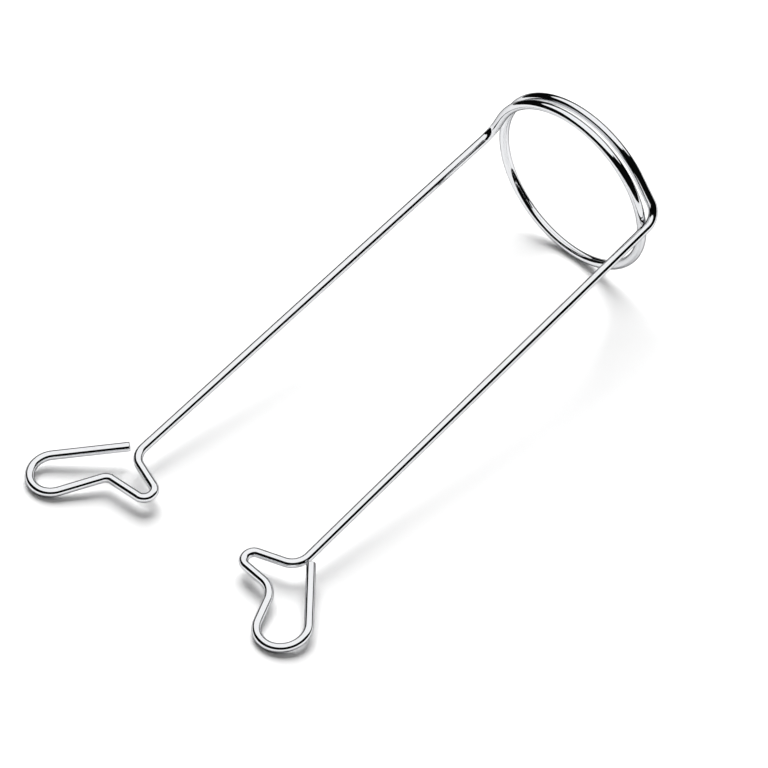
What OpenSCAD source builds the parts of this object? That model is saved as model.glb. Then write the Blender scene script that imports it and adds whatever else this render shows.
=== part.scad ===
// Bent wire form: one round wire wound into an open coil, with two sloping arms that end in foot-shaped loops.
// Millimetres, +Z up, +Y from the feet towards the coil. The origin is the point on the floor where the coil stands.
// The whole form stands on three points: the foot of the coil and the two toes.

/* [Wire] */
// Wire diameter
wire_d = 2.6; // [1.5:0.1:3]

/* [Coil] */
// Radius of the coil, to the middle of the wire
ring_r = 26; // [20:0.5:40]
// Distance between the two strands that lie side by side over the top
ring_pitch = 3.7; // [3:0.1:8]
// Lean of the coil towards the feet, in degrees
ring_lean = 1.4; // [0:0.1:5]
// Gap between the right arm and the side of the coil that it passes
side_gap = 0.2; // [0.15:0.01:1.5]

/* [Arms] */
// Distance of the left arm outside the middle line of the coil
left_out = 1; // [0.5:0.1:4]
// Height of the bends into the arms above the middle of the coil
arm_rise = 3.6; // [1:0.1:8]
// Radius of the bends from the coil into the arms
leg_bend_r = 5.1; // [3:0.1:6]
// Length of the arms, from the middle of the coil to the ankle bends
arm_length = 140.1; // [90:0.5:200]
// Spread of each arm outwards towards its foot, in degrees
arm_splay = 1; // [0:0.1:5]

/* [Feet] */
// Radius of the ankle bends
ankle_r = 5.3; // [4:0.1:7]
// Straight run from the ankle to the heel
heel_run = 8.1; // [6.5:0.1:13]
// Radius of the heel bends
heel_r = 2.6; // [2.2:0.1:4]
// Angle of the heel bends
heel_turn = 158.5; // [155:0.5:162]

/* [Left foot] */
// Angle of the ankle bend
ankle_left = 70; // [66:0.5:74]
// Straight run from the heel to the arch
arch_run_left = 9.6; // [7:0.1:12]
// Radius of the arch bend
arch_r_left = 2.9; // [2.5:0.1:5]
// Angle of the arch bend
arch_turn_left = 57.5; // [54:0.5:61]
// Straight run from the arch to the toe
toe_run_left = 12; // [10:0.1:15]
// Radius of the toe bend
toe_r_left = 6.3; // [5.5:0.1:7.5]
// Angle of the toe bend
toe_turn_left = 193; // [190:0.5:196]
// Gap between the cut end and the ankle
end_gap_left = 1.5; // [0.15:0.05:6]

/* [Right foot] */
// Angle of the ankle bend
ankle_right = 76; // [72:0.5:80]
// Straight run from the heel to the arch
arch_run_right = 6.9; // [5:0.1:9]
// Radius of the arch bend
arch_r_right = 6.9; // [5:0.1:9]
// Angle of the arch bend
arch_turn_right = 61.5; // [58:0.5:65]
// Straight run from the arch to the toe
toe_run_right = 7; // [5:0.1:10]
// Radius of the toe bend
toe_r_right = 7; // [6:0.1:8]
// Angle of the toe bend
toe_turn_right = 199; // [196:0.5:202]
// Gap between the cut end and the ankle
end_gap_right = 0.15; // [0.15:0.05:6]

/* [Hidden] */
$fn = 64;
LEFT = -1;
RIGHT = 1;
// Each half of the coil is bent in equal arcs, with short flats between them, that follow the screw line
coil_arcs = 9;
coil_flat = 0.2;
// The straights are a hair thinner than the bends, and their ends lap into them
hair = 0.01;
lap = 0.1;
// Climb of the screw line
climb = atan(ring_pitch / (2 * PI * ring_r));

function pick(side, left, right) = side == LEFT ? left : right;
function heading(angle) = [cos(angle), sin(angle)];

// Distance of an arm's bend from the coil's axis, sideways and in all
function side_x(side) = pick(side, ring_r + left_out, sqrt(ring_r ^ 2 - arm_rise ^ 2) + wire_d + side_gap);
function corner_r(side) = norm([side_x(side), arm_rise]);

// Angle a half of the coil goes round, from its foot over the top to where the leg leaves it straight
function half_turn(side) = 270 - atan2(arm_rise, side_x(side)) - acos(ring_r / corner_r(side));
function arc_turn(side) = half_turn(side) / coil_arcs;
function arc_bend(side) = 2 * asin(sin(arc_turn(side) / 2) * cos(climb));
function arc_roll(side) = 2 * asin(sin(climb) * sin(arc_turn(side) / 2) / cos(arc_bend(side) / 2));
function arc_base(side) = ring_r - coil_flat * cos(climb) / tan(arc_turn(side) / 2) / 2;
function arc_r(side) =
    arc_base(side) / (cos(climb) * sqrt(1 - (sin(climb) / cos(arc_bend(side) / 2)) ^ 2));

// Straight leg from the coil to the bend, and how far the half has moved along the coil's axis by then
function leg(side) = sqrt(corner_r(side) ^ 2 - ring_r ^ 2) / cos(climb);
function advance(side) =
    (coil_arcs * (2 * arc_r(side) * tan(arc_bend(side) / 2) + coil_flat) + leg(side)) * sin(climb);
function arm(side) = arm_length + side * advance(side);

// Flat plan of a foot from the start of its ankle bend: X inwards, Y back along the arm
function ankle(side) = pick(side, ankle_left, ankle_right);
function arch_run(side) = pick(side, arch_run_left, arch_run_right);
function arch_r(side) = pick(side, arch_r_left, arch_r_right);
function arch_turn(side) = pick(side, arch_turn_left, arch_turn_right);
function toe_run(side) = pick(side, toe_run_left, toe_run_right);
function toe_r(side) = pick(side, toe_r_left, toe_r_right);
function toe_turn(side) = pick(side, toe_turn_left, toe_turn_right);
function sole_way(side) = ankle(side) - 90;
function arch_way(side) = sole_way(side) - heel_turn;
function toe_way(side) = arch_way(side) + arch_turn(side);
function end_way(side) = toe_way(side) - toe_turn(side);
function heel_c(side) =
    [ankle_r, 0] - (ankle_r + heel_r) * heading(ankle(side)) + heel_run * heading(sole_way(side));
function arch_c(side) =
    heel_c(side) + (heel_r + arch_r(side)) * heading(arch_way(side) + 90)
        + arch_run(side) * heading(arch_way(side));
function toe_c(side) =
    arch_c(side) - (arch_r(side) + toe_r(side)) * heading(toe_way(side) + 90)
        + toe_run(side) * heading(toe_way(side));

// Straight run back from the toe, which stops short of the outside of the ankle by the end gap
function end_gap(side) = pick(side, end_gap_left, end_gap_right);
function end_from(side) =
    toe_c(side) + (toe_r(side) - wire_d / 2) * heading(end_way(side) + 90) - [ankle_r, 0];
function end_mid(side) = -end_from(side) * heading(end_way(side));
function end_keep(side) = ankle_r + wire_d / 2 + end_gap(side);
function end_run(side) =
    end_mid(side) - sqrt(end_mid(side) ^ 2 - end_from(side) * end_from(side) + end_keep(side) ^ 2);

// Slope of each arm that puts its toe on the floor, less the lean of the coil
function toe_reach(side) =
    (arm(side) - toe_c(side)[1]) * cos(arm_splay) + toe_c(side)[0] * sin(arm_splay) + toe_r(side);
function corner_h(side) =
    (ring_r + arm_rise) * cos(ring_lean) + side * advance(side) * sin(ring_lean);
function slope(side) = asin(corner_h(side) / toe_reach(side)) - ring_lean;

// Directions at the bend into an arm, in the frame of that half: along the leg, towards the coil's axis,
// down the arm, and inwards across the arm
function leg_dir(side) =
    [cos(climb) * cos(half_turn(side)), -sin(climb), cos(climb) * sin(half_turn(side))];
function axis_dir(side) = [-sin(half_turn(side)), 0, cos(half_turn(side))];
function fall_dir(side) = [0, side * cos(slope(side)), -sin(slope(side))];
function arm_dir(side) = cos(arm_splay) * fall_dir(side) - sin(arm_splay) * [1, 0, 0];
function in_dir(side) = sin(arm_splay) * fall_dir(side) + cos(arm_splay) * [1, 0, 0];
function leg_bend(side) = acos(leg_dir(side) * arm_dir(side));
function leg_roll(side) =
    atan2(arm_dir(side) * cross(leg_dir(side), axis_dir(side)), arm_dir(side) * axis_dir(side));
function hinge_dir(side) = cross(leg_dir(side), arm_dir(side)) / sin(leg_bend(side));
function foot_roll(side) =
    atan2(in_dir(side) * hinge_dir(side), in_dir(side) * cross(hinge_dir(side), arm_dir(side)));
function setback(side) = leg_bend_r * tan(leg_bend(side) / 2);

// Bending list of one half from the foot of the coil: feed, roll, bend and bend radius
function coil_steps(side) =
    [for (part = [0.5, for (i = [2 : coil_arcs]) 1])
        [part * coil_flat, part * arc_roll(side), arc_bend(side), arc_r(side)]];
function arm_steps(side) = [
    [coil_flat / 2 + leg(side) - setback(side), arc_roll(side) / 2 + leg_roll(side), leg_bend(side), leg_bend_r],
    [arm(side) - setback(side), foot_roll(side), ankle(side), ankle_r],
    [heel_run, 180, heel_turn, heel_r],
    [arch_run(side), 180, arch_turn(side), arch_r(side)],
    [toe_run(side), 180, toe_turn(side), toe_r(side)],
    [end_run(side), 0, 0, 0]
];

// One bend of the wire: starts at the origin along +Z and turns towards +X
module elbow(bend, r) {
    translate([r, 0, 0])
        rotate([90, 0, 180])
            rotate_extrude(angle = bend)
                translate([r, 0])
                    circle(d = wire_d);
}

// Wire laid along a bending list, each straight and bend carried on from the one before
module follow(steps, i = 0) {
    if (i < len(steps)) {
        feed = steps[i][0];
        roll = steps[i][1];
        bend = steps[i][2];
        r = steps[i][3];
        translate([0, 0, -lap])
            cylinder(d = wire_d - hair, h = feed + (bend > 0 ? 2 : 1) * lap);
        translate([0, 0, feed])
            rotate([0, 0, roll]) {
                if (bend > 0)
                    elbow(bend, r);
                translate([r, 0, 0])
                    rotate([0, bend, 0])
                        translate([-r, 0, 0])
                            follow(steps, i + 1);
            }
    }
}

// Half of the wire, from the foot of the coil to one cut end
module half(side) {
    rotate([0, 0, side == LEFT ? 0 : 180])
        rotate([180, -90, -climb])
            follow(concat(coil_steps(side), arm_steps(side)));
}

module wire_form() {
    color("silver")
        translate([0, 0, wire_d / 2])
            rotate([ring_lean, 0, 0]) {
                half(LEFT);
                half(RIGHT);
            }
}

wire_form();
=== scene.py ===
# %% [markdown]
# # A bent wire form in bright spring steel
# One length of round steel wire is wound about one and a third times round a post, and both of its
# ends are led out as long sloping arms that finish in small foot-shaped loops. The form stands on
# three points: the bottom of the coil and the two toes.
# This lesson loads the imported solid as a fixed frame, lays a fine tube of wire over it, and lights it
# as a small bright metal thing is lit in a studio: in a white tent with one dark side.

# %% Load the frame
from collections import namedtuple

import bpy
import numpy as np
from mathutils import Matrix


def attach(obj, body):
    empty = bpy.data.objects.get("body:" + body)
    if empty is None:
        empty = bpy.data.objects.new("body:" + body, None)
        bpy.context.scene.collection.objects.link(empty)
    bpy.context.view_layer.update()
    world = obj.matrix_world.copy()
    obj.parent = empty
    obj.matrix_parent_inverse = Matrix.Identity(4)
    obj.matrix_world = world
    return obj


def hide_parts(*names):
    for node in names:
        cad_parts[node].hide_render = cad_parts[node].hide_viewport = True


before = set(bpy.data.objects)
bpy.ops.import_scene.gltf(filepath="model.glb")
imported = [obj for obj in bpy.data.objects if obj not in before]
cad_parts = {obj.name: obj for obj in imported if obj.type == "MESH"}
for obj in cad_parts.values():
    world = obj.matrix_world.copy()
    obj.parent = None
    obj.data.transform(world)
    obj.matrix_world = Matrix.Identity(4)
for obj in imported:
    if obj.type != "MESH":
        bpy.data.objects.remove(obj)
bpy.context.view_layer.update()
MM = 0.001
scene = bpy.context.scene
scene.view_settings.view_transform = "Standard"

# %% [markdown]
# ## Camera
# The picture of this wire is nearly without perspective: the two arms stay parallel, so it was taken
# from far off with a long lens. A camera could be aimed with a Track To constraint, but three axes
# written out as a matrix show plainly where it stands: turned 43 degrees from the feet towards the
# right arm, and 44 degrees above the floor. The lamp is aimed in the same way later on.

# %% Camera
VIEW_TURN, VIEW_RISE = np.radians(42.83), np.radians(44.163)
VIEW_DISTANCE = 3.0
LOOK_AT = np.array([0.976, -76.917, 6.094]) * MM
SENSOR_MM, LENS_MM = 36.0, 523.1


def direction(turn, rise):
    """Unit vector at a turn from the feet towards the right arm and a rise above the floor.

    Its parts are sine of the turn and minus cosine of the turn, both times cosine of the rise, and
    sine of the rise.
    """
    level = np.cos(rise)
    return np.stack([np.sin(turn) * level, -np.cos(turn) * level, np.sin(rise) + 0 * turn], axis=-1)


def aimed(turn, rise, distance, target):
    """Matrix of a thing that stands at target + distance * direction and looks back at the target."""
    back = direction(turn, rise)
    right = np.array([np.cos(turn), np.sin(turn), 0.0])
    place = np.eye(4)
    place[:3, :3] = np.column_stack([right, np.cross(back, right), back])
    place[:3, 3] = target + distance * back
    return Matrix(place.tolist())


camera = bpy.data.objects.new("long_lens", bpy.data.cameras.new("long_lens"))
camera.data.sensor_width = SENSOR_MM
camera.data.lens = LENS_MM
camera.matrix_world = aimed(VIEW_TURN, VIEW_RISE, VIEW_DISTANCE, LOOK_AT)
scene.collection.objects.link(camera)
scene.camera = camera
print("camera stands at", [round(v, 3) for v in camera.matrix_world.translation], "m")

# %% [markdown]
# ## Helpers for finishes
# Colours are written as the hex values that a paint program shows, and Blender's shaders work in
# linear light, so one function converts them. Node trees are built by a second one, which adds a node
# with its settings and its inputs in a single line, and a third starts an empty material.

# %% Colour and node helpers
def linear(code):
    """sRGB to linear: c / 12.92 up to 0.04045, and (c + 0.055) / 1.055 to the power 2.4 above that."""
    c = np.array([int(code[i:i + 2], 16) for i in (1, 3, 5)]) / 255
    return (*np.where(c <= 0.04045, c / 12.92, ((c + 0.055) / 1.055) ** 2.4), 1.0)


def add(tree, kind, inputs=None, **settings):
    """Adds one node: settings are its properties, and an input is a plain value or another node's output."""
    node = tree.nodes.new(kind)
    for name, value in settings.items():
        setattr(node, name, value)
    for socket, value in (inputs or {}).items():
        if isinstance(value, bpy.types.NodeSocket):
            tree.links.new(value, node.inputs[socket])
        else:
            node.inputs[socket].default_value = value
    return node


def new_finish(name):
    """An empty material, its node tree and its output node."""
    finish = bpy.data.materials.new(name)
    finish.use_nodes = True
    finish.node_tree.nodes.clear()
    return finish, finish.node_tree, add(finish.node_tree, "ShaderNodeOutputMaterial")


print("middle grey in linear light:", np.round(linear("#808080")[:3], 3))

# %% [markdown]
# ## Finish: bright drawn spring steel
# The wire was pulled through a polished die and plated bright. To the eye that is a mirror rolled into
# a thin rod: it has hardly a colour of its own and shows the room in long stripes. The die leaves fine
# lines along the wire, the plating clouds a little from place to place, and where the wire is bent
# tightly the stretched outside turns slightly dull.
# A plain metal with a low roughness would look like a computer drawing. Here two attributes that the
# tube carries do the work: `drawn`, the place of a point on the wire as if it were still straight, and
# `stretch`, how far the bend has stretched or squeezed the surface there.
# Real die lines lie about 0.02 mm apart, which is far too fine to show, so they are drawn 0.3 mm apart.

# %% Bright drawn spring steel
DIE_LINE, LINE_LENGTH = 0.3 * MM, 40.0
LINE_DEPTH, LINE_STRENGTH = 0.003 * MM, 0.35
CLOUD = 7.0 * MM
PEEL_GRAIN, PEEL_WEIGHT = 0.25 * MM, 6.0
NOISE_LOW, NOISE_HIGH = 0.3, 0.7
STRETCH_LOW, STRETCH_HIGH = 0.1, 0.5
ROUGH_LOW, ROUGH_HIGH, ROUGH_BENDS = 0.045, 0.085, 0.07
STEEL, STEEL_CLOUD, STEEL_RIM = linear("#DADBDD"), linear("#E3E4E6"), linear("#404040")

bright_steel, tree, out = new_finish("bright_drawn_spring_steel")
drawn = add(tree, "ShaderNodeAttribute", attribute_name="drawn").outputs["Vector"]
stretch = add(tree, "ShaderNodeAttribute", attribute_name="stretch").outputs["Fac"]
along = add(tree, "ShaderNodeVectorMath", {0: drawn, 1: (1, 1, 1 / LINE_LENGTH)}, operation="MULTIPLY")
lines = add(tree, "ShaderNodeTexNoise", {"Vector": along.outputs[0], "Scale": 1 / DIE_LINE, "Detail": 2.0})
cloud = add(tree, "ShaderNodeTexNoise", {"Vector": drawn, "Scale": 1 / CLOUD, "Detail": 3.0})
peel = add(tree, "ShaderNodeTexNoise", {"Vector": drawn, "Scale": 1 / PEEL_GRAIN, "Detail": 1.0})
colour = add(tree, "ShaderNodeMix", {
    "Factor": cloud.outputs["Fac"], 6: STEEL, 7: STEEL_CLOUD}, data_type="RGBA")
polish = add(tree, "ShaderNodeMapRange", {
    "Value": lines.outputs["Fac"], "From Min": NOISE_LOW, "From Max": NOISE_HIGH,
    "To Min": ROUGH_LOW, "To Max": ROUGH_HIGH})
dull = add(tree, "ShaderNodeMapRange", {
    "Value": stretch, "From Min": STRETCH_LOW, "From Max": STRETCH_HIGH,
    "To Min": 0.0, "To Max": ROUGH_BENDS})
rough = add(tree, "ShaderNodeMath", {0: polish.outputs[0], 1: dull.outputs[0]}, operation="ADD")
grain = add(tree, "ShaderNodeMath", {0: peel.outputs["Fac"], 1: dull.outputs[0]}, operation="MULTIPLY")
relief = add(tree, "ShaderNodeMath", {
    0: grain.outputs[0], 1: PEEL_WEIGHT, 2: lines.outputs["Fac"]}, operation="MULTIPLY_ADD")
bump = add(tree, "ShaderNodeBump", {
    "Height": relief.outputs[0], "Strength": LINE_STRENGTH, "Distance": LINE_DEPTH})
steel = add(tree, "ShaderNodeBsdfPrincipled", {
    "Base Color": colour.outputs[2], "Metallic": 1.0, "Specular Tint": STEEL_RIM,
    "Roughness": rough.outputs[0], "Normal": bump.outputs[0]})
tree.links.new(steel.outputs[0], out.inputs[0])
print(bright_steel.name, "has", len(tree.nodes), "nodes")

# %% [markdown]
# ## Finish: sheared steel
# Both ends of the wire are cut off by a shear. A sheared face is bare steel: half of it burnished by
# the blade and half torn, so it is duller and a little darker than the plated side of the wire. Fine
# streaks across the face are enough at this size, from a noise that is squeezed in one direction.

# %% Sheared steel
TEAR, TEAR_SQUEEZE = 0.35 * MM, 4.0
TEAR_DEPTH, TEAR_STRENGTH = 0.03 * MM, 0.5
ROUGH_BURNISHED, ROUGH_TORN = 0.25, 0.5
BARE, BARE_LIGHT = linear("#8F9194"), linear("#B9BABC")

sheared_steel, tree, out = new_finish("sheared_steel")
spot = add(tree, "ShaderNodeTexCoord").outputs["Object"]
streak = add(tree, "ShaderNodeMapping", {"Vector": spot, "Scale": (1.0, 1.0, TEAR_SQUEEZE)})
noise = add(tree, "ShaderNodeTexNoise", {"Vector": streak.outputs[0], "Scale": 1 / TEAR, "Detail": 3.0})
tears = noise.outputs["Fac"]
colour = add(tree, "ShaderNodeMix", {"Factor": tears, 6: BARE, 7: BARE_LIGHT}, data_type="RGBA")
rough = add(tree, "ShaderNodeMapRange", {"Value": tears, "To Min": ROUGH_BURNISHED, "To Max": ROUGH_TORN})
bump = add(tree, "ShaderNodeBump", {"Height": tears, "Strength": TEAR_STRENGTH, "Distance": TEAR_DEPTH})
steel = add(tree, "ShaderNodeBsdfPrincipled", {
    "Base Color": colour.outputs[2], "Metallic": 1.0,
    "Roughness": rough.outputs[0], "Normal": bump.outputs[0]})
tree.links.new(steel.outputs[0], out.inputs[0])
print(sheared_steel.name, "has", len(tree.nodes), "nodes")

# %% [markdown]
# ## The sizes of the wire
# A wire bender makes this form from a list: feed so much wire, roll it about its own axis, bend it by
# an angle round a pin. A traced curve would need hundreds of points and would never be quite straight
# in the arms. Most numbers in such a list follow from a few others: the slope of an arm, for one, is
# whatever lets its toe touch the floor. So only the sizes that a maker would choose are written here,
# in millimetres and degrees, and the list is worked out from them in the next three steps.
# The two feet are not quite alike, so each has sizes of its own.

# %% Sizes that a maker would choose
WIRE_R = 1.3
COIL_R, COIL_PITCH, COIL_LEAN = 26.0, 3.7, np.radians(1.4)
COIL_ARCS, COIL_FLAT = 9, 0.2
LEFT_OUT, SIDE_GAP = 1.0, 0.2
ARM_RISE, ARM_BEND_R = 3.6, 5.1
ARM_LENGTH, ARM_SPLAY = 140.1, np.radians(1.0)
ANKLE_R, HEEL_RUN, HEEL_R, HEEL_TURN = 5.3, 8.1, 2.6, np.radians(158.5)

Foot = namedtuple("Foot", "ankle arch_run arch_r arch_turn toe_run toe_r toe_turn end_gap")
LEFT_FOOT = Foot(ankle=np.radians(70.0), arch_run=9.6, arch_r=2.9, arch_turn=np.radians(57.5),
                 toe_run=12.0, toe_r=6.3, toe_turn=np.radians(193.0), end_gap=1.5)
RIGHT_FOOT = Foot(ankle=np.radians(76.0), arch_run=6.9, arch_r=6.9, arch_turn=np.radians(61.5),
                  toe_run=7.0, toe_r=7.0, toe_turn=np.radians(199.0), end_gap=0.15)
print("wire of", 2 * WIRE_R, "mm round a post of", 2 * (COIL_R - WIRE_R), "mm")

# %% [markdown]
# ## The coil, arc by arc
# Each half of the wire starts at the bottom of the coil, goes over the top and leaves the coil in a
# short straight leg, which runs to the corner of its arm. The coil is a screw line. Points on a helix
# would do, but a bender makes one from equal arcs with a short flat and a hair of roll between them,
# and then the coil and the rest of the wire are drawn in one and the same way.

# %% Coil
climb = np.arctan(COIL_PITCH / (2 * np.pi * COIL_R))


def coil_half(corner_x):
    """Rows of one half of the coil, the angle it goes round, its leg, and its way along the coil's axis.

    The angle is three quarters of a turn, less the corner's own angle above the coil's middle, less
    the arc cosine of coil radius over corner distance, which is where a line from the corner touches
    the coil. The arcs have the bend, roll and radius that put the middle of every flat on the screw
    line.
    """
    corner_r = np.hypot(corner_x, ARM_RISE)
    round_it = 1.5 * np.pi - np.arctan2(ARM_RISE, corner_x) - np.arccos(COIL_R / corner_r)
    half_arc = round_it / COIL_ARCS / 2
    bend = 2 * np.arcsin(np.sin(half_arc) * np.cos(climb))
    roll = 2 * np.arcsin(np.sin(climb) * np.sin(half_arc) / np.cos(bend / 2))
    level_r = COIL_R - COIL_FLAT * np.cos(climb) / np.tan(half_arc) / 2
    r = level_r / np.cos(climb) / np.sqrt(1 - (np.sin(climb) / np.cos(bend / 2)) ** 2)
    rows = np.tile([COIL_FLAT, roll, bend, r], (COIL_ARCS, 1))
    rows[0, :2] /= 2
    leg = np.sqrt(corner_r ** 2 - COIL_R ** 2) / np.cos(climb)
    advance = (COIL_ARCS * (2 * r * np.tan(bend / 2) + COIL_FLAT) + leg) * np.sin(climb)
    return rows, round_it, leg, advance


print("the screw line climbs", round(np.degrees(climb), 2), "degrees")

# %% [markdown]
# ## A foot laid flat
# On the bench a foot is a flat shape: ankle, heel, arch and toe with straights between them, and a
# last straight that runs back from the toe and is cut off just before it meets the ankle. Two things
# are wanted from this plan: where the toe bend has its centre, and how long the last straight is.

# %% Foot
SQUARE = np.pi / 2


def ray(angle):
    """Unit vector on the bench: cosine inwards, sine back along the arm."""
    return np.array([np.cos(angle), np.sin(angle)])


def foot_plan(foot):
    """Centre of the toe bend, from the start of the ankle bend, and the length of the last straight.

    Each bend's centre is the one before it, plus the straight between them, plus both radii across
    it. The last straight ends on a circle round the ankle's centre, of ankle radius + wire radius +
    end gap: its length is the smaller root of a quadratic.
    """
    sole_way = foot.ankle - SQUARE
    arch_way = sole_way - HEEL_TURN
    toe_way = arch_way + foot.arch_turn
    end_way = toe_way - foot.toe_turn
    ankle_c = np.array([ANKLE_R, 0.0])
    heel_c = ankle_c + HEEL_RUN * ray(sole_way) - (ANKLE_R + HEEL_R) * ray(sole_way + SQUARE)
    arch_c = heel_c + foot.arch_run * ray(arch_way) + (HEEL_R + foot.arch_r) * ray(arch_way + SQUARE)
    toe_c = arch_c + foot.toe_run * ray(toe_way) - (foot.arch_r + foot.toe_r) * ray(toe_way + SQUARE)
    start = toe_c + (foot.toe_r - WIRE_R) * ray(end_way + SQUARE) - ankle_c
    nearest = -start @ ray(end_way)
    keep_off = ANKLE_R + WIRE_R + foot.end_gap
    return toe_c, nearest - np.sqrt(nearest ** 2 - start @ start + keep_off ** 2)


print("last straights:", [round(foot_plan(foot)[1], 2) for foot in (LEFT_FOOT, RIGHT_FOOT)], "mm")

# %% [markdown]
# ## The bending list
# Now the rows can be written one after another: the arcs of the coil, the bend into the arm, the
# ankle, the heel, the arch and the toe, and last the straight run that ends at the cut. The left arm
# stands a little outside the coil, and the right one passes close beside it.

# %% Bending list
LEFT, RIGHT = -1, 1
LEFT_X = COIL_R + LEFT_OUT
RIGHT_X = np.sqrt(COIL_R ** 2 - ARM_RISE ** 2) + 2 * WIRE_R + SIDE_GAP
HALF_TURN = np.pi


def bending_list(side, corner_x, foot):
    """Rows of feed, roll, bend and bend radius, from the bottom of the coil to the cut end of one side.

    The arm's slope is the arc sine of its corner's height over its reach to the tip of the toe, less
    the lean. The bend into the arm is the angle between leg and arm, and its roll turns the bend's
    centre from the coil's axis into their plane. The ankle's roll then turns it into the plane of the
    foot. The last row has no bend, and any radius will do for it.
    """
    coil, round_it, leg, advance = coil_half(corner_x)
    toe_c, end_run = foot_plan(foot)
    arm = ARM_LENGTH + side * advance
    height = (COIL_R + ARM_RISE) * np.cos(COIL_LEAN) + side * advance * np.sin(COIL_LEAN)
    reach = (arm - toe_c[1]) * np.cos(ARM_SPLAY) + toe_c[0] * np.sin(ARM_SPLAY) + foot.toe_r
    slope = np.arcsin(height / reach) - COIL_LEAN

    to_axis = np.array([-np.sin(round_it), 0.0, np.cos(round_it)])
    round_way = np.array([np.cos(round_it), 0.0, np.sin(round_it)])
    leg_way = np.cos(climb) * round_way - np.sin(climb) * np.array([0.0, 1.0, 0.0])
    inwards = np.array([1.0, 0.0, 0.0])
    down = np.array([0.0, side * np.cos(slope), -np.sin(slope)])
    arm_way = np.cos(ARM_SPLAY) * down - np.sin(ARM_SPLAY) * inwards
    foot_way = np.sin(ARM_SPLAY) * down + np.cos(ARM_SPLAY) * inwards
    bend = np.arccos(leg_way @ arm_way)
    roll = np.arctan2(arm_way @ np.cross(leg_way, to_axis), arm_way @ to_axis)
    hinge = np.cross(leg_way, arm_way) / np.sin(bend)
    foot_roll = np.arctan2(foot_way @ hinge, foot_way @ np.cross(hinge, arm_way))
    setback = ARM_BEND_R * np.tan(bend / 2)
    return np.vstack([coil, [
        [COIL_FLAT / 2 + leg - setback, coil[-1, 1] / 2 + roll, bend, ARM_BEND_R],
        [arm - setback, foot_roll, foot.ankle, ANKLE_R],
        [HEEL_RUN, HALF_TURN, HEEL_TURN, HEEL_R],
        [foot.arch_run, HALF_TURN, foot.arch_turn, foot.arch_r],
        [foot.toe_run, HALF_TURN, foot.toe_turn, foot.toe_r],
        [end_run, 0, 0, WIRE_R]]])


left_list = bending_list(LEFT, LEFT_X, LEFT_FOOT)
right_list = bending_list(RIGHT, RIGHT_X, RIGHT_FOOT)
cut_length = sum((rows[:, 0] + rows[:, 2] * rows[:, 3]).sum() for rows in (left_list, right_list))
print("wire needed:", round(cut_length, 1), "mm")

# %% [markdown]
# ## From the list to a path
# The list is followed with a small set of axes that travels down the wire: one points along it, one
# towards the next bend's centre, one along the bend's hinge. A straight moves the axes forward, and a
# bend swings them round its centre. If the tube simply used these axes it would twist at every roll,
# so the rolls are added up and taken out again. What is left never twists about the wire, which keeps
# the die lines running straight through all the bends.

# %% Follow the bending list
Strand = namedtuple("Strand", "points first second curve aim")
RUN_STEP, TURN_STEP = 3.0, np.radians(3.0)


def follow(steps, axes, start):
    """Stations along one half: points, two cross axes, curvature, and the roll towards the bend's centre.

    Along a straight the point is start + distance * along. In a bend of radius r the centre is
    start + r * toward, and at angle a the point is centre - r * (toward * cos a - along * sin a). The
    cross axes are the travelling axes turned back by the sum of all rolls so far.
    """
    points, first, second, curve, aim = [], [], [], [], []
    rolled, spot = 0.0, start
    for feed, roll, bend, r in steps:
        way = np.linspace(0, feed, max(2, int(np.ceil(feed / RUN_STEP)) + 1))[1:, None]
        turn = np.linspace(0, bend, int(np.ceil(bend / TURN_STEP)) + 1)[1:, None]
        toward, hinge, along = axes.T
        points.append(spot + way * along)
        spot = spot + feed * along
        first.append(np.cos(rolled) * toward - np.sin(rolled) * hinge + 0 * way)
        second.append(np.sin(rolled) * toward + np.cos(rolled) * hinge + 0 * way)
        rolled += roll
        toward, hinge = (np.cos(roll) * toward + np.sin(roll) * hinge,
                         np.cos(roll) * hinge - np.sin(roll) * toward)
        inward = np.cos(turn) * toward - np.sin(turn) * along
        points.append(spot + r * toward - r * inward)
        first.append(np.cos(rolled) * inward - np.sin(rolled) * hinge)
        second.append(np.sin(rolled) * inward + np.cos(rolled) * hinge)
        curve.append(np.concatenate([0 * way[:, 0], np.full(len(turn), 1 / r)]))
        aim.append(np.full(len(way) + len(turn), rolled))
        if bend:
            onward = np.sin(turn[-1]) * toward + np.cos(turn[-1]) * along
            axes = np.column_stack([inward[-1], hinge, onward])
            spot = points[-1][-1]
    return Strand(*(np.concatenate(part) for part in (points, first, second, curve, aim)))


up = np.array([0.0, 0.0, 1.0])
left_way = np.array([np.cos(climb), -np.sin(climb), 0.0])
right_way = left_way * [-1, -1, 1]
bottom = np.zeros(3)
left_half = follow(left_list, np.column_stack([up, np.cross(left_way, up), left_way]), bottom)
right_half = follow(right_list, np.column_stack([up, np.cross(right_way, up), right_way]), bottom)
print("stations:", len(left_half.points), "left and", len(right_half.points), "right")

# %% [markdown]
# ## One path from cut to cut
# The two halves meet at the bottom of the coil. The left one is turned end for end, which flips its
# second cross axis, and the right one follows on. Then the whole path leans a little towards the feet,
# as the coil does, and is raised until the wire's underside touches the floor.

# %% Join the halves
lean_cos, lean_sin = np.cos(COIL_LEAN), np.sin(COIL_LEAN)
lean = np.array([[1, 0, 0], [0, lean_cos, -lean_sin], [0, lean_sin, lean_cos]])
path = np.vstack([left_half.points[::-1], right_half.points]) @ lean.T + [0, 0, WIRE_R]
across = np.vstack([left_half.first[::-1], right_half.first]) @ lean.T
beside = np.vstack([-left_half.second[::-1], right_half.second]) @ lean.T
curvature = np.concatenate([left_half.curve[::-1], right_half.curve])
bend_side = np.concatenate([-left_half.aim[::-1], right_half.aim])
length = np.concatenate([[0], np.linalg.norm(np.diff(path, axis=0), axis=1).cumsum()])
print("path:", len(path), "stations,", round(length[-1], 1), "mm")
print("underside within", round(abs(path[:, 2].min() - WIRE_R), 3), "mm of the floor")

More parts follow.
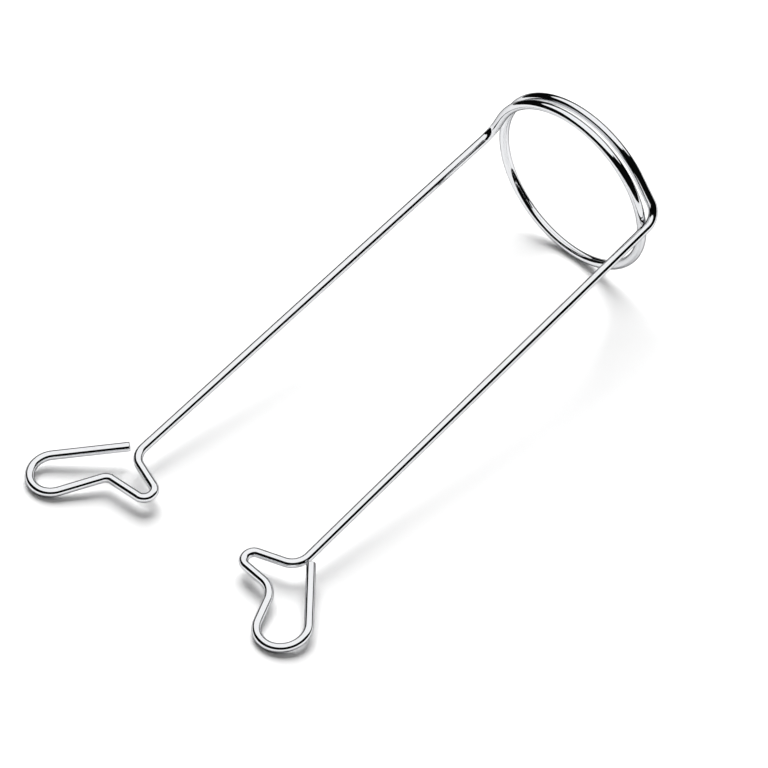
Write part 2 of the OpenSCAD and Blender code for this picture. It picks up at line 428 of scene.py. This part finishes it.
# %% [markdown]
# ## The wire
# A curve with a round bevel would make a wire in one line, but it knows nothing of stretched bends and
# it leaves a plain flat cap. Here a circle is carried along the path, all rings in one array: each ring
# is its station plus the wire's radius times cosine of one cross axis plus sine of the other. The ends
# are the last rings drawn in over a small rounded edge, as a shear leaves it, and closed in one point.

# %% Carry the circle along the path
SIDES = 48
SHEAR_EDGE, EDGE_RINGS = 0.3, 7

sweep = np.linspace(np.pi / 2, 0, EDGE_RINGS)[:, None]
ends = np.array([0, -1])
last = len(path) - 1
outward = np.cross(across, beside)[ends] * [[-1], [1]]
edge_back = SHEAR_EDGE * (1 - np.sin(sweep))
edge_r = WIRE_R - SHEAR_EDGE * (1 - np.cos(sweep[:, 0]))
first_edge = path[0] - edge_back * outward[0]
last_edge = path[-1] - edge_back[::-1] * outward[1]
stations = np.vstack([first_edge, path[1:-1], last_edge])
radius = np.concatenate([edge_r, np.full(last - 1, WIRE_R), edge_r[::-1]])
keep = np.concatenate([np.zeros(EDGE_RINGS, int), np.arange(1, last), np.full(EDGE_RINGS, last)])

angle = np.linspace(0, 2 * np.pi, SIDES, endpoint=False)
cosine, sine = np.cos(angle)[None, :, None], np.sin(angle)[None, :, None]
rings = stations[:, None] + radius[:, None, None] * (cosine * across[keep, None] + sine * beside[keep, None])
corners = np.vstack([rings.reshape(-1, 3), path[ends]]) * MM

index = np.arange(len(stations) * SIDES).reshape(-1, SIDES)
beyond = np.roll(index, -1, axis=1)
walls = np.stack([index[:-1], beyond[:-1], beyond[1:], index[1:]], axis=-1).reshape(-1, 4)
poles = len(stations) * SIDES + np.arange(2)
fan_in = np.column_stack([np.full(SIDES, poles[0]), beyond[0], index[0]])
fan_out = np.column_stack([np.full(SIDES, poles[1]), index[-1], beyond[-1]])

skin = bpy.data.meshes.new("bright_wire")
skin.from_pydata(corners, [], [*walls.tolist(), *fan_in.tolist(), *fan_out.tolist()])
skin.materials.append(bright_steel)
skin.materials.append(sheared_steel)
on_wall = np.arange(len(skin.polygons)) < len(walls)
skin.polygons.foreach_set("use_smooth", on_wall)
skin.polygons.foreach_set("material_index", (~on_wall).astype(np.int32))
print("wire:", len(corners), "points,", 2 * len(walls) + 2 * SIDES, "triangles")

# %% [markdown]
# ## What the surface remembers
# The finish needs to know where each point lay on the straight wire and how much its bend stretched
# it. On the outside of a bend of radius R the surface of a wire of radius r is longer by r / R, on the
# inside it is shorter by as much, and in between it follows the cosine of the angle round the wire.

# %% Attributes of the drawn wire
straight = np.zeros((*index.shape, 3))
straight[:, :, :2] = WIRE_R * np.column_stack([np.cos(angle), np.sin(angle)])
straight[:, :, 2] = length[keep, None]
straight = np.vstack([straight.reshape(-1, 3), [[0, 0, 0], [0, 0, length[-1]]]]) * MM
strain = -WIRE_R * curvature[keep, None] * np.cos(angle - bend_side[keep, None])
strain = np.concatenate([strain.ravel(), [0, 0]])
skin.attributes.new("drawn", "FLOAT_VECTOR", "POINT").data.foreach_set("vector", straight.ravel())
skin.attributes.new("stretch", "FLOAT", "POINT").data.foreach_set("value", strain)
skin.update()

bright_wire = bpy.data.objects.new("bright_wire", skin)
scene.collection.objects.link(bright_wire)
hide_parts("wire_form")
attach(bright_wire, "root")
print("most stretched by", round(100 * strain.max(), 1), "percent, at the heels")

# %% [markdown]
# ## The studio floor
# The form stands on white paper that meets the white beyond it without a line. A plane would do; a
# round sheet worked out from radius and angle has the same distance to its rim on all sides, so it
# ends evenly in every view.
# In a bright studio such paper comes out a little brighter than white, and the faint rims of the
# shadows are lost in it. More light would do that, but it would burn out the wire as well. So the
# paper's colour is lifted a little for the camera and for what mirrors the paper, and for nothing else.

# %% White paper
PAPER_R, PAPER_RINGS, PAPER_SPOKES = 0.3, 9, 97
PAPER_LIFT = 1.12
middle = np.array([0.0, -75.0, -0.01]) * MM


def shown(tree):
    """1 for a ray that shows what it meets, straight or by way of metal or glass, and 0 for other light."""
    ray_kind = add(tree, "ShaderNodeLightPath").outputs
    plain = {0: ray_kind["Is Camera Ray"], 1: ray_kind["Is Glossy Ray"]}
    mirrored = add(tree, "ShaderNodeMath", plain, operation="MAXIMUM")
    through = {0: mirrored.outputs[0], 1: ray_kind["Is Transmission Ray"]}
    return add(tree, "ShaderNodeMath", through, operation="MAXIMUM").outputs[0]


def set_up(name, rows, finish):
    """Puts a grid of points, given as rows, columns and coordinates, on the stage as quads with a finish."""
    grid = np.arange(rows.shape[0] * rows.shape[1]).reshape(rows.shape[:2])
    quads = np.stack([grid[:-1, :-1], grid[:-1, 1:], grid[1:, 1:], grid[1:, :-1]], axis=-1).reshape(-1, 4)
    mesh = bpy.data.meshes.new(name)
    mesh.from_pydata(rows.reshape(-1, 3), [], quads.tolist())
    mesh.materials.append(finish)
    mesh.polygons.foreach_set("use_smooth", np.ones(len(quads), bool))
    thing = bpy.data.objects.new(name, mesh)
    scene.collection.objects.link(thing)
    return thing


white_paper, tree, out = new_finish("matt_white_paper")
lift = add(tree, "ShaderNodeMapRange", {"Value": shown(tree), "To Min": 1.0, "To Max": PAPER_LIFT})
pulp = add(tree, "ShaderNodeVectorMath", {
    0: linear("#F7F7F7")[:3], "Scale": lift.outputs[0]}, operation="SCALE")
paper = add(tree, "ShaderNodeBsdfDiffuse", {"Color": pulp.outputs[0]})
tree.links.new(paper.outputs[0], out.inputs[0])

rim, spoke = np.meshgrid(np.linspace(0, 2 * np.pi, PAPER_SPOKES), np.linspace(0, PAPER_R, PAPER_RINGS))
set_up("paper", middle + np.dstack([-spoke * np.cos(rim), spoke * np.sin(rim), 0 * rim]), white_paper)
print("paper", 2 * PAPER_R, "m across")

# %% [markdown]
# ## The tent and its dark side
# Bright wire shows whatever stands round it, so the light is built from what it should show: white
# cloth behind and overhead, and on the side of the camera a dark opening up to the height of the lens.
# The opening narrows to a dark band all round, where the cloth ends above the table: in the wire that
# band is the thin dark line along its far edge.
# Both cloths are parts of one dome. A point of it is given by its turn round the table and its height
# angle, and the edge between white and dark is a height that depends on the turn. The white cloth has
# two strengths: GLOW is what the wire mirrors, and SPILL is what reaches the paper, kept low so that
# the shadows stay clear. Neither cloth is seen by the camera itself.

# %% White and dark cloth
TENT_R, TENT_ROWS, TENT_SEAMS = 4.0, 25, 121
TENT_TOP, TENT_BOTTOM = 89.9, -35.0
OPEN_TURN, OPEN_HALF, OPEN_FADE = 30.0, 84.0, 40.0
EDGE_HIGH, EDGE_LOW, EDGE_TILT = 50.0, 24.0, 5.0
GLOW, SPILL = 1.2, 0.4


def cloth_edge(turn):
    """Height of the white cloth's edge in degrees.

    High in front of the opening, and beyond both of its sides eased down to the low edge by the smooth
    step 3 f^2 - 2 f^3. The low edge tilts with the sine of the turn.
    """
    off = np.abs((turn - OPEN_TURN + 180) % 360 - 180)
    fade = np.clip((off - OPEN_HALF) / OPEN_FADE, 0, 1)
    low = EDGE_LOW - EDGE_TILT * np.sin(np.radians(turn))
    return EDGE_HIGH + (low - EDGE_HIGH) * fade ** 2 * (3 - 2 * fade)


def dome(low, high, turn):
    """Points of the dome between two heights, facing inwards: middle of the paper + radius * direction."""
    height = low + (high - low) * np.linspace(0, 1, TENT_ROWS)[:, None]
    return middle + TENT_R * direction(np.radians(turn) + 0 * height, np.radians(height))


white_cloth, tree, out = new_finish("glowing_white_cloth")
mirrored = add(tree, "ShaderNodeLightPath").outputs["Is Glossy Ray"]
strength = add(tree, "ShaderNodeMapRange", {"Value": mirrored, "To Min": SPILL, "To Max": GLOW})
glow = add(tree, "ShaderNodeEmission", {"Color": (1, 1, 1, 1), "Strength": strength.outputs[0]})
tree.links.new(glow.outputs[0], out.inputs[0])
dark_cloth, tree, out = new_finish("black_velvet")
velvet = add(tree, "ShaderNodeBsdfPrincipled", {
    "Base Color": linear("#161616"), "Roughness": 1.0, "Specular IOR Level": 0.0})
tree.links.new(velvet.outputs[0], out.inputs[0])

turn = np.linspace(360, 0, TENT_SEAMS)
tent = set_up("white_tent", dome(cloth_edge(turn), TENT_TOP, turn), white_cloth)
opening = set_up("dark_opening", dome(TENT_BOTTOM, cloth_edge(turn), turn), dark_cloth)
tent.visible_camera = opening.visible_camera = False
print("white from", EDGE_LOW, "to", EDGE_HIGH, "degrees up")

# %% [markdown]
# ## A soft lamp behind
# The shadows of the loops are soft and fall forwards, so most of the paper's light comes from one large
# softbox behind the coil. An area lamp is made for this. Its strength is worked out from the brightness
# that its face should have: power = pi * area * brightness. The wire doesn't mirror it, because the
# image of a lamp in so thin a mirror would burn out the dark line along the edge.

# %% Softbox
LAMP_TURN, LAMP_RISE = np.radians(-137.0), np.radians(47.0)
LAMP_SIZE, LAMP_AWAY, LAMP_FACE = 2.8, 3.6, 7.8

lamp = bpy.data.objects.new("softbox", bpy.data.lights.new("softbox", "AREA"))
lamp.data.size = LAMP_SIZE
lamp.data.energy = np.pi * LAMP_SIZE ** 2 * LAMP_FACE
lamp.matrix_world = aimed(LAMP_TURN, LAMP_RISE, LAMP_AWAY, middle)
lamp.visible_glossy = False
scene.collection.objects.link(lamp)
print("softbox of", round(lamp.data.energy, 2), "W")

# %% [markdown]
# ## White beyond the paper
# Past the paper's rim the picture should stay white. A world of strength 1 is white to the camera, and
# to anything that mirrors or lets light through, and it is switched off for all other light, so that
# only the tent and the softbox light the wire.

# %% World
world = bpy.data.worlds.new("white_surround")
world.use_nodes = True
tree = world.node_tree
tree.nodes.clear()
white = add(tree, "ShaderNodeBackground", {"Color": (1, 1, 1, 1), "Strength": shown(tree)})
add(tree, "ShaderNodeOutputWorld", {"Surface": white.outputs[0]})
scene.world = world
print("world:", len(tree.nodes), "nodes")
